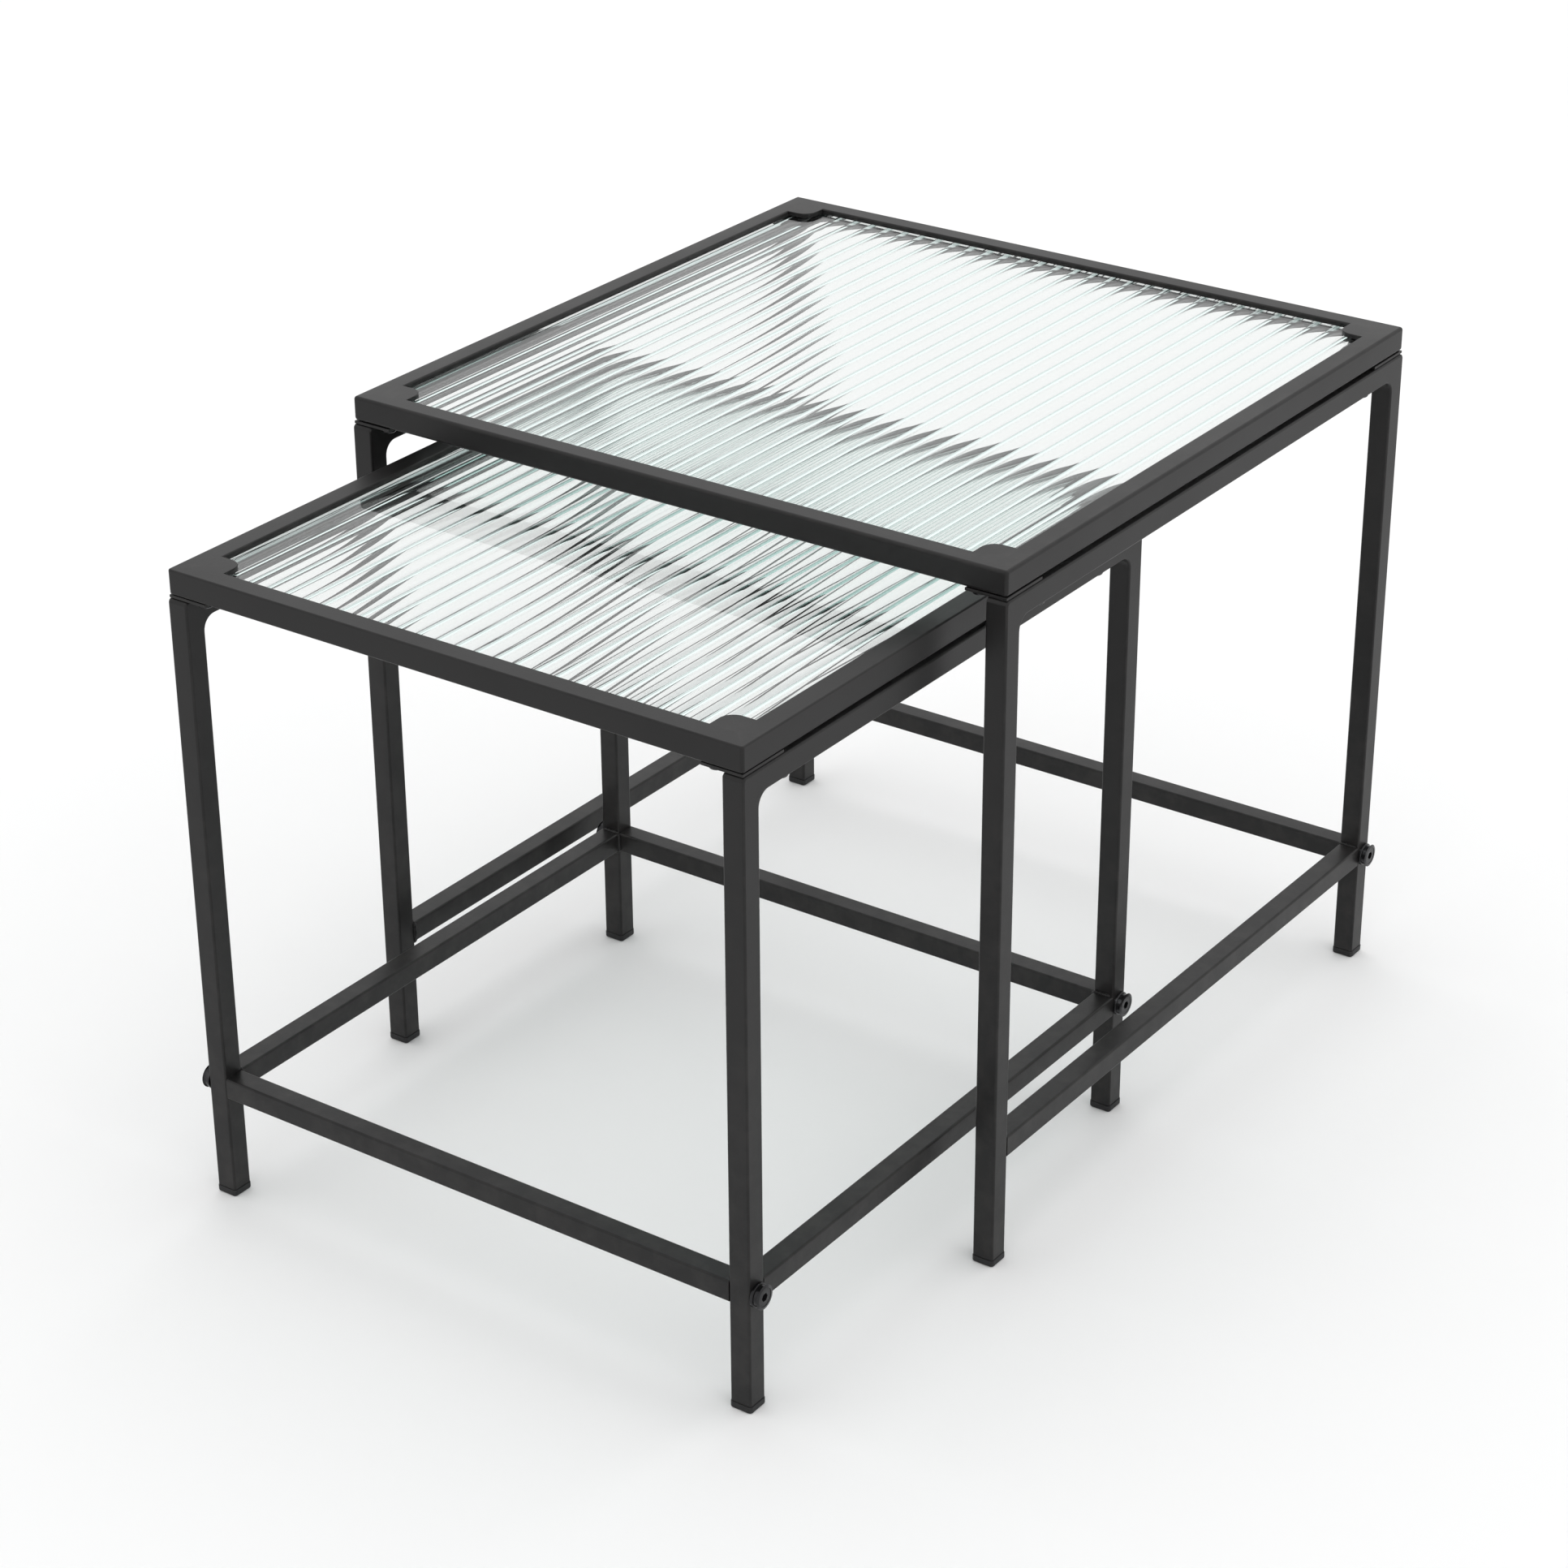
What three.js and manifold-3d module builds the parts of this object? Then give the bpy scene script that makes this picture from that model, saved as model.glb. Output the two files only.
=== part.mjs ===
// Nesting tables: a pair of square side tables in black square tube with reeded glass tops.
// The small table stands on the floor and slides in and out under the large one.
// Millimetres, +X to the right, +Y to the back, +Z up. The origin is on the floor, under the
// middle of the pair as it stands here, with the small table pulled out.

import * as THREE from "three";
import { mergeVertices } from "three/addons/utils/BufferGeometryUtils.js";
import Module from "manifold-3d";

const wasm = await Module();
wasm.setup();

// ---- Driving dimensions -------------------------------------------------------------------

const PULLED_OUT = 213; // how far the front of the small table stands in front of the large one
const LARGE = { name: "large", width: 500, depth: 500, height: 480, crossbars: ["rear"] };
const SMALL = { name: "small", width: 430, depth: 430, height: 444, crossbars: ["front", "rear"] };

const GAP = 0.3; // clearance between neighbouring pieces

const TUBE = 15; // outside of the square tube, and width of the rim
const WALL = 1.2;
const TUBE_RADIUS = 1.5;

const RIM_HEIGHT = 16.5; // the tube of the rim is a little taller than it is wide
const RIM_INSET = 0.7; // the rim stands this far inside the outer faces of the legs
const TAB = { size: 18, radius: 10, thick: 3 }; // covers each corner of the glass, flush with the rim

const GLASS = { sheet: 4.4, play: 1, reedPitch: 14.5, reedDepth: 1.1, reedSteps: 4 };

const PLATE = { x: 30, y: 40, radius: 12, thick: 2 }; // between the rim and the top of a leg
const STUD = { radius: 5, offset: 24 }; // stands on the plate and carries a corner of the glass

const FRAME_RADIUS = 3; // outer top corner of a leg
const FILLET = 9; // inner corner between a leg and the rail above it

const STRETCHER_Z = 82.5; // centre height of all the lower stretchers
const PLUG_LENGTH = 12; // threaded plug in each end of a bolted crossbar

const FOOT = { size: 16, height: 4.8, radius: 2, edge: 1, plug: 12 }; // plastic cap under each leg

const BOLT = { radius: 3, length: 26, flange: 8, flangeThick: 2, head: 6.8, height: 5.4 };
const SOCKET = { radius: 2.9, depth: 3 };
const SCREW = { radius: 2.5, length: 21.5, head: 4.8, height: 2.8, inset: 45 };
const RECESS = { length: 5, width: 1, depth: 1.6 };

// ---- Finishes -----------------------------------------------------------------------------

const powderCoat = () => new THREE.MeshStandardMaterial({ color: 0x2c2b2b, roughness: 0.55, metalness: 0.2 });
const blackOxide = () => new THREE.MeshStandardMaterial({ color: 0x151516, roughness: 0.22, metalness: 0.8 });
const blackPlastic = () => new THREE.MeshStandardMaterial({ color: 0x18181a, roughness: 0.6, metalness: 0 });
const reededGlass = () =>
  new THREE.MeshStandardMaterial({
    color: 0xdfeeea,
    roughness: 0.04,
    metalness: 0,
    transparent: true,
    opacity: 0.35,
  });

// ---- Joining and cutting --------------------------------------------------------------------

// A closed geometry as a solid.
function solid(geometry) {
  const plain = geometry.clone();
  plain.deleteAttribute("normal");
  plain.deleteAttribute("uv");
  const merged = mergeVertices(plain, 1e-4);
  return new wasm.Manifold(
    new wasm.Mesh({
      numProp: 3,
      vertProperties: new Float32Array(merged.attributes.position.array),
      triVerts: new Uint32Array(merged.index.array),
    }),
  );
}

// The first geometry with the others joined on to it.
function join(first, ...others) {
  return geometryOf(others.reduce((body, other) => body.add(solid(other)), solid(first)));
}

// The first geometry with the others cut away from it.
function cut(first, ...others) {
  return geometryOf(others.reduce((body, other) => body.subtract(solid(other)), solid(first)));
}

function geometryOf(body) {
  const mesh = body.getMesh();
  const indexed = new THREE.BufferGeometry();
  indexed.setAttribute("position", new THREE.BufferAttribute(new Float32Array(mesh.vertProperties), 3));
  indexed.setIndex(new THREE.BufferAttribute(new Uint32Array(mesh.triVerts), 1));
  const faceted = indexed.toNonIndexed();
  faceted.computeVertexNormals();
  return faceted;
}

// ---- Basic shapes ---------------------------------------------------------------------------

function arc(x, y, radius, from, to, steps) {
  const points = [];
  for (let i = 0; i <= steps; i += 1) {
    const angle = ((from + ((to - from) * i) / steps) * Math.PI) / 180;
    points.push([x + radius * Math.cos(angle), y + radius * Math.sin(angle)]);
  }
  return points;
}

function roundedRectangle(width, height, radius, steps = 3) {
  const x = width / 2 - radius;
  const y = height / 2 - radius;
  return [
    ...arc(x, y, radius, 0, 90, steps),
    ...arc(-x, y, radius, 90, 180, steps),
    ...arc(-x, -y, radius, 180, 270, steps),
    ...arc(x, -y, radius, 270, 360, steps),
  ];
}

// A closed outline pulled up from z = 0, with optional holes.
function prism(outline, depth, holes = []) {
  const vectors = (points) => points.map(([x, y]) => new THREE.Vector2(x, y));
  const shape = new THREE.Shape(vectors(outline));
  shape.holes = holes.map((hole) => new THREE.Path(vectors(hole)));
  return new THREE.ExtrudeGeometry(shape, { depth, bevelEnabled: false });
}

// The same with the outline in the YZ plane, pulled along X and centred on x = 0.
function prismAlongX(outline, depth) {
  const turn = new THREE.Matrix4().makeBasis(
    new THREE.Vector3(0, 1, 0),
    new THREE.Vector3(0, 0, 1),
    new THREE.Vector3(1, 0, 0),
  );
  return prism(outline, depth).translate(0, 0, -depth / 2).applyMatrix4(turn);
}

// A tube along Z, open at both ends and centred on the origin; tall is its outside along X.
function tube(length, tall = TUBE) {
  const x = tall / 2 - WALL;
  const y = TUBE / 2 - WALL;
  const hole = [
    [-x, -y],
    [-x, y],
    [x, y],
    [x, -y],
  ];
  return prism(roundedRectangle(tall, TUBE, TUBE_RADIUS), length, [hole]).translate(0, 0, -length / 2);
}

const tubeAlongX = (length, tall) => tube(length, tall).rotateY(Math.PI / 2);
const tubeAlongY = (length) => tube(length).rotateX(Math.PI / 2);

function rodAlongX(radius, length) {
  return new THREE.CylinderGeometry(radius, radius, length, 12).rotateZ(Math.PI / 2);
}

function rodAlongZ(radius, length) {
  return new THREE.CylinderGeometry(radius, radius, length, 12).rotateX(Math.PI / 2);
}

// ---- Rim and glass --------------------------------------------------------------------------

// What is cut off one end of a rim side for its 45 degree mitre; end is -1 or 1.
function mitreWaste(length, end) {
  const inner = -length / 2 + GAP / 2;
  const outline = [
    [inner - TUBE, -TUBE * 1.5],
    [inner + TUBE * 2, TUBE * 1.5],
    [inner - TUBE * 2, TUBE * 1.5],
    [inner - TUBE * 2, -TUBE * 1.5],
  ];
  return prism(
    outline.map(([x, y]) => [-end * x, y]),
    TUBE * 2,
  ).translate(0, 0, -TUBE);
}

// The tab over one corner of the glass.
function cornerTab(length, end) {
  const root = TUBE / 2 - WALL / 2;
  const near = -length / 2 + TUBE + GAP;
  const far = near + TAB.size - GAP;
  const nose = TUBE / 2 + TAB.size;
  const outline = [
    [near, root],
    [far, root],
    ...arc(far - TAB.radius, nose - TAB.radius, TAB.radius, 0, 90, 5),
    [near, nose],
  ];
  return prism(
    outline.map(([x, y]) => [-end * x, y]),
    TAB.thick,
  ).translate(0, 0, RIM_HEIGHT / 2 - TAB.thick);
}

// A front or rear side of the rim, along X, its outer face towards -Y.
function crossRim(table) {
  const length = table.width - 2 * RIM_INSET;
  const bar = cut(tubeAlongX(length, RIM_HEIGHT), mitreWaste(length, -1), mitreWaste(length, 1));
  return join(bar, cornerTab(length, -1), cornerTab(length, 1));
}

// A left or right side of the rim, made along X too, with holes for the screws from the side frame.
function sideRim(table) {
  const length = table.depth - 2 * RIM_INSET;
  const at = table.depth / 2 - SCREW.inset;
  const holes = [-at, at].map((x) =>
    rodAlongZ(SCREW.radius + GAP, TUBE / 2).translate(x, -RIM_INSET, -RIM_HEIGHT / 2),
  );
  const bar = tubeAlongX(length, RIM_HEIGHT);
  return cut(bar, mitreWaste(length, -1), mitreWaste(length, 1), ...holes);
}

// A sheet with a smooth top at z = 0 and hollow flutes underneath, with ridges between them,
// that run from front to back.
function glassPanel(table) {
  const shrink = 2 * (RIM_INSET + TUBE + GLASS.play);
  const width = table.width - shrink;
  const depth = table.depth - shrink;
  const reeds = Math.round(width / GLASS.reedPitch);
  const points = [
    [-width / 2, 0],
    [-width / 2, -GLASS.sheet - GLASS.reedDepth],
  ];
  for (let i = 1; i <= reeds * GLASS.reedSteps; i += 1) {
    const phase = (i / GLASS.reedSteps) % 1;
    const x = -width / 2 + (width * i) / (reeds * GLASS.reedSteps);
    points.push([x, -GLASS.sheet - GLASS.reedDepth * (1 - Math.sin(Math.PI * phase))]);
  }
  points.push([width / 2, 0]);
  return prism(points, depth).translate(0, 0, -depth / 2).rotateX(Math.PI / 2);
}

// ---- Pieces at the corners: origin at the outer corner of the leg on the floor, +X +Y inwards ----

function leg(table, bolted) {
  const bottom = FOOT.height + GAP;
  const top = legTop(table);
  const centre = TUBE / 2;
  const bore = TUBE - 2 * WALL;
  const bar = prism(roundedRectangle(TUBE, TUBE, TUBE_RADIUS), top - bottom).translate(centre, centre, bottom);
  const hollow = new THREE.BoxGeometry(bore, bore, top - bottom).translate(
    centre,
    centre,
    (top + bottom) / 2 - WALL,
  );
  const corner = prismAlongX(
    [
      ...arc(FRAME_RADIUS, top - FRAME_RADIUS, FRAME_RADIUS, 180, 90, 4),
      [FRAME_RADIUS, top + 1],
      [-1, top + 1],
      [-1, top - FRAME_RADIUS],
    ],
    TUBE * 2,
  ).translate(centre, 0, 0);
  const holes = bolted ? [rodAlongX(BOLT.radius + GAP, TUBE * 2).translate(centre, centre, STRETCHER_Z)] : [];
  return cut(bar, hollow, corner, ...holes);
}

function foot() {
  const { size, height, radius, edge, plug } = FOOT;
  const outline = roundedRectangle(size, size, radius).map(([x, y]) => new THREE.Vector2(x, y));
  const cap = new THREE.ExtrudeGeometry(new THREE.Shape(outline), {
    depth: height - 2 * edge,
    bevelThickness: edge,
    bevelSize: edge,
    bevelOffset: -edge,
    bevelSegments: 2,
  }).translate(0, 0, edge);
  const side = TUBE - 2 * WALL - 2 * GAP;
  const insert = new THREE.BoxGeometry(side, side, plug + 1).translate(0, 0, height - 1 + (plug + 1) / 2);
  return join(cap, insert).translate(TUBE / 2, TUBE / 2, 0);
}

function cornerPlate(table) {
  const edge = RIM_INSET + GAP;
  const outline = [
    [edge, edge],
    [PLATE.x, edge],
    ...arc(PLATE.x - PLATE.radius, PLATE.y - PLATE.radius, PLATE.radius, 0, 90, 5),
    [edge, PLATE.y],
  ];
  const bottom = legTop(table) + GAP;
  const studTop = glassTop(table) - GLASS.sheet - GLASS.reedDepth - GAP;
  const height = studTop - bottom;
  const stud = rodAlongZ(STUD.radius, height).translate(STUD.offset, STUD.offset, bottom + height / 2);
  return join(prism(outline, PLATE.thick).translate(0, 0, bottom), stud);
}

// ---- Rails and stretchers, centred on their own length ----------------------------------------

// The web that rounds the inner corner under one end of a side rail; end is -1 or 1 along Y.
function railFillet(length, end) {
  const start = -length / 2;
  const under = -TUBE / 2;
  const outline = [
    [start, under + WALL / 2],
    [start + FILLET, under + WALL / 2],
    ...arc(start + FILLET, under - FILLET, FILLET, 90, 180, 5),
  ];
  return prismAlongX(
    outline.map(([y, z]) => [-end * y, z]),
    TUBE - 1,
  );
}

function sideRail(table) {
  const length = table.depth - 2 * (TUBE + GAP);
  const at = table.depth / 2 - SCREW.inset;
  const bar = join(tubeAlongY(length), railFillet(length, -1), railFillet(length, 1));
  return cut(bar, ...[-at, at].map((y) => rodAlongZ(SCREW.radius + GAP, TUBE * 2).translate(0, y, 0)));
}

function sideStretcher(table) {
  return tubeAlongY(table.depth - 2 * (TUBE + GAP));
}

// A crossbar with a threaded plug in each end for the bolts through the legs.
function crossbar(table) {
  const length = table.width - 2 * (TUBE + GAP);
  const side = TUBE - 1.5 * WALL;
  const ends = [-1, 1].map((end) => (end * (length - PLUG_LENGTH)) / 2);
  const plugs = ends.map((x) => new THREE.BoxGeometry(PLUG_LENGTH, side, side).translate(x, 0, 0));
  const threads = ends.map((x) => rodAlongX(BOLT.radius + GAP, PLUG_LENGTH + 1).translate(x, 0, 0));
  return cut(join(tubeAlongX(length), ...plugs), ...threads);
}

// ---- Fasteners --------------------------------------------------------------------------------

function turned(profile, segments) {
  return new THREE.LatheGeometry(
    profile.map(([radius, y]) => new THREE.Vector2(radius, y)),
    segments,
  );
}

// A flanged socket-head bolt along X: the head at -X, the flange face at x = 0, the thread at +X.
function bolt() {
  const { radius, length, flange, flangeThick, head, height } = BOLT;
  const blank = turned(
    [
      [0, -length],
      [radius - 0.5, -length],
      [radius, -length + 0.5],
      [radius, 0],
      [flange, 0],
      [flange, flangeThick - 0.6],
      [flange - 0.6, flangeThick],
      [head, flangeThick],
      [head, height - 0.8],
      [head - 0.8, height],
      [0, height],
    ],
    18,
  );
  const socket = new THREE.CylinderGeometry(SOCKET.radius, SOCKET.radius, SOCKET.depth * 2, 6);
  return cut(blank, socket.translate(0, height, 0)).rotateZ(Math.PI / 2);
}

// A pan-head screw along Z: the head below z = 0, the thread above.
function screw() {
  const { radius, length, head, height } = SCREW;
  const blank = turned(
    [
      [0, -height],
      [head - 1.6, -height],
      [head - 0.4, -height + 0.9],
      [head, -0.6],
      [head, 0],
      [radius, 0],
      [radius, length - 0.5],
      [radius - 0.5, length],
      [0, length],
    ],
    12,
  ).rotateX(Math.PI / 2);
  const slots = [0, Math.PI / 2].map((angle) =>
    new THREE.BoxGeometry(RECESS.length, RECESS.width, RECESS.depth * 2)
      .rotateZ(angle)
      .translate(0, 0, -height),
  );
  return cut(blank, ...slots);
}

// ---- Assembly ---------------------------------------------------------------------------------

const CORNERS = [
  { name: "front_left", x: -1, y: -1 },
  { name: "front_right", x: 1, y: -1 },
  { name: "rear_left", x: -1, y: 1 },
  { name: "rear_right", x: 1, y: 1 },
];

const rimZ = (table) => table.height - RIM_HEIGHT / 2;
const glassTop = (table) => table.height - TAB.thick - GAP;
const legTop = (table) => table.height - RIM_HEIGHT - PLATE.thick - 2 * GAP;
const railZ = (table) => legTop(table) - TUBE / 2;

function add(group, name, geometry, material, position = [0, 0, 0]) {
  const mesh = new THREE.Mesh(geometry, material);
  mesh.name = name;
  mesh.position.set(...position);
  group.add(mesh);
  return mesh;
}

// The rim, its turned copies and the glass inside it.
function addTop(group, table) {
  const x = table.width / 2 - RIM_INSET - TUBE / 2;
  const y = table.depth / 2 - RIM_INSET - TUBE / 2;
  const z = rimZ(table);
  const name = (side) => `${table.name}_rim_${side}`;
  add(group, name("front"), crossRim(table), powderCoat(), [0, -y, z]);
  add(group, name("rear"), crossRim(table), powderCoat(), [0, y, z]).rotation.z = Math.PI;
  add(group, name("left"), sideRim(table), powderCoat(), [-x, 0, z]).rotation.z = -Math.PI / 2;
  add(group, name("right"), sideRim(table), powderCoat(), [x, 0, z]).rotation.z = Math.PI / 2;
  add(group, `${table.name}_glass`, glassPanel(table), reededGlass(), [0, 0, glassTop(table)]);
}

// Leg, foot and corner plate at each corner; the corner frame is mirrored from corner to corner.
function addCorners(group, table) {
  for (const corner of CORNERS) {
    const bolted = table.crossbars.some((side) => corner.name.startsWith(side));
    const pieces = [
      ["leg", leg(table, bolted), powderCoat()],
      ["foot", foot(), blackPlastic()],
      ["plate", cornerPlate(table), powderCoat()],
    ];
    for (const [piece, geometry, material] of pieces) {
      const at = [(corner.x * table.width) / 2, (corner.y * table.depth) / 2, 0];
      const mesh = add(group, `${table.name}_${piece}_${corner.name}`, geometry, material, at);
      mesh.scale.set(-corner.x, -corner.y, 1);
    }
  }
}

// The rail and stretcher that make each pair of legs into a side frame.
function addSides(group, table) {
  const x = (table.width - TUBE) / 2;
  for (const [side, sign] of [
    ["left", -1],
    ["right", 1],
  ]) {
    add(group, `${table.name}_rail_${side}`, sideRail(table), powderCoat(), [sign * x, 0, railZ(table)]);
    add(group, `${table.name}_stretcher_${side}`, sideStretcher(table), powderCoat(), [
      sign * x,
      0,
      STRETCHER_Z,
    ]);
  }
}

// The crossbars between the side frames, each held by a bolt through the leg at either end.
function addCrossbars(group, table) {
  const y = (table.depth - TUBE) / 2;
  for (const side of table.crossbars) {
    const sign = side === "front" ? -1 : 1;
    add(group, `${table.name}_stretcher_${side}`, crossbar(table), powderCoat(), [0, sign * y, STRETCHER_Z]);
    for (const corner of CORNERS.filter((c) => c.y === sign)) {
      const at = [corner.x * (table.width / 2 + GAP), sign * y, STRETCHER_Z];
      const mesh = add(group, `${table.name}_bolt_${corner.name}`, bolt(), blackOxide(), at);
      mesh.rotation.z = corner.x > 0 ? Math.PI : 0;
    }
  }
}

// The screws that go up through each side rail into the rim.
function addScrews(group, table) {
  for (const corner of CORNERS) {
    const at = [
      (corner.x * (table.width - TUBE)) / 2,
      corner.y * (table.depth / 2 - SCREW.inset),
      railZ(table) - TUBE / 2 - GAP,
    ];
    add(group, `${table.name}_screw_${corner.name}`, screw(), blackOxide(), at);
  }
}

function buildTable(table, frontY) {
  const group = new THREE.Group();
  addTop(group, table);
  addCorners(group, table);
  addSides(group, table);
  addCrossbars(group, table);
  addScrews(group, table);
  group.position.y = frontY + table.depth / 2;
  return group;
}

const frontOfPair = -(PULLED_OUT + LARGE.depth) / 2;
const tables = new THREE.Group();
tables.add(buildTable(LARGE, frontOfPair + PULLED_OUT), buildTable(SMALL, frontOfPair));

export default tables;
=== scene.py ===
"""Nesting tables: two square side tables in black square tube with reeded glass tops.

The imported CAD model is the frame, so every piece is placed from the corners of its CAD node.
Lengths are in metres, +X to the right, +Y to the back, +Z up.
"""

import logging
import math
import random
from dataclasses import dataclass, field
from enum import Enum
from typing import Callable, Sequence

import bpy
from mathutils import Matrix, Vector

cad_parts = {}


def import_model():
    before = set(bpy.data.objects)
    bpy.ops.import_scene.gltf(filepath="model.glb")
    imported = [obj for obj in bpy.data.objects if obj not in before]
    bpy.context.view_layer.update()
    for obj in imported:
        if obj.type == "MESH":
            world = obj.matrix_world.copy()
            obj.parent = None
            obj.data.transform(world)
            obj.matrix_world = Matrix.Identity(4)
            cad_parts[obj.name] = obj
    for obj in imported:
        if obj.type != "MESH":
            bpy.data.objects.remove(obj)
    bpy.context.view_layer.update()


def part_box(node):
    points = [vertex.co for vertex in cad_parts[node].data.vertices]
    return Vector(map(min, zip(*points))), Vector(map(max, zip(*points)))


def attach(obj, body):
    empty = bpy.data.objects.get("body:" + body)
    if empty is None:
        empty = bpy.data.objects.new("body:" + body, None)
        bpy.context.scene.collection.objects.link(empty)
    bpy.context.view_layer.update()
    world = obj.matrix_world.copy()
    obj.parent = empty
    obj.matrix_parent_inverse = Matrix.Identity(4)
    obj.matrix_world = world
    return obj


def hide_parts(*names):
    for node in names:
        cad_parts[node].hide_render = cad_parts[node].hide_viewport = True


LOG = logging.getLogger("nesting_tables")

MM = 0.001
NEAR = 0.1 * MM  # an edge this close to a place is the one that is meant
SNUG = 0.05 * MM  # the same for the flat faces of small parts
EVEN = 0.01 * MM  # coordinates this close are equal
LONG = 100 * MM  # an edge longer than this runs the length of a bar
OVERCUT = 1 * MM  # how far a cutter stands out of what it cuts
CUT_GAP = 1e-6  # points of a fresh cut closer than this become one
ALIKE = 0.9  # directions whose dot product is above this are the same
FULL_LEAN = 0.25  # a point whose normal leans this far off the axes is wholly edge
NOISE_SPAN = (0.3, 0.7)  # where most of the noise lies
MIX_A, MIX_B, MIX_RESULT = 6, 7, 2  # colour sockets of the Mix node, which share their names

Blob = bpy.types.Object
Nodes = bpy.types.NodeTree
Wanted = Callable[[Vector, Vector], bool]


class Slot(Enum):
    """The record's material slots."""

    COAT = "powder_coat"
    GLASS = "reeded_glass"
    PLASTIC = "black_plastic"
    OXIDE = "black_oxide"


class Side(Enum):
    """The four sides of a table, as the direction that each one faces."""

    FRONT = (0, -1)
    REAR = (0, 1)
    LEFT = (-1, 0)
    RIGHT = (1, 0)

    @property
    def word(self) -> str:
        """The side's name as the CAD nodes spell it."""
        return self.name.lower()


class Corner(Enum):
    """The four corners of a table, as signs along X and Y."""

    FRONT_LEFT = (-1, -1)
    FRONT_RIGHT = (1, -1)
    REAR_LEFT = (-1, 1)
    REAR_RIGHT = (1, 1)

    @property
    def word(self) -> str:
        """The corner's name as the CAD nodes spell it."""
        return self.name.lower()

    def outer(self, low: Vector, high: Vector) -> Vector:
        """The corner of a box's top that is farthest out at this corner of the table.

        Args:
            low: Lowest corner of the box.
            high: Highest corner of the box.

        Returns:
            The place of that corner.
        """
        x, y = self.value
        return Vector((high.x if x > 0 else low.x, high.y if y > 0 else low.y, high.z))

    def inner(self, low: Vector, high: Vector) -> Vector:
        """The opposite corner of the same box, at its bottom."""
        return self.outer(high, low)


class Pick:
    """Tests on the two ends of an edge, to pick edges by their place."""

    @staticmethod
    def upright(place: Vector) -> Wanted:
        """Edges that stand over one point of the plan."""
        return lambda a, b: all((p.xy - place.xy).length < NEAR for p in (a, b))

    @staticmethod
    def above(height: float) -> Wanted:
        """Edges that lie wholly above a height."""
        return lambda a, b: min(a.z, b.z) > height

    @staticmethod
    def below(height: float) -> Wanted:
        """Edges that lie wholly below a height."""
        return lambda a, b: max(a.z, b.z) < height

    @staticmethod
    def level(a: Vector, b: Vector) -> bool:
        """Edges whose two ends are equally high."""
        return abs(a.z - b.z) < EVEN


# ---- Bench: hand operations on meshes ---------------------------------------------------------


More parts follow.
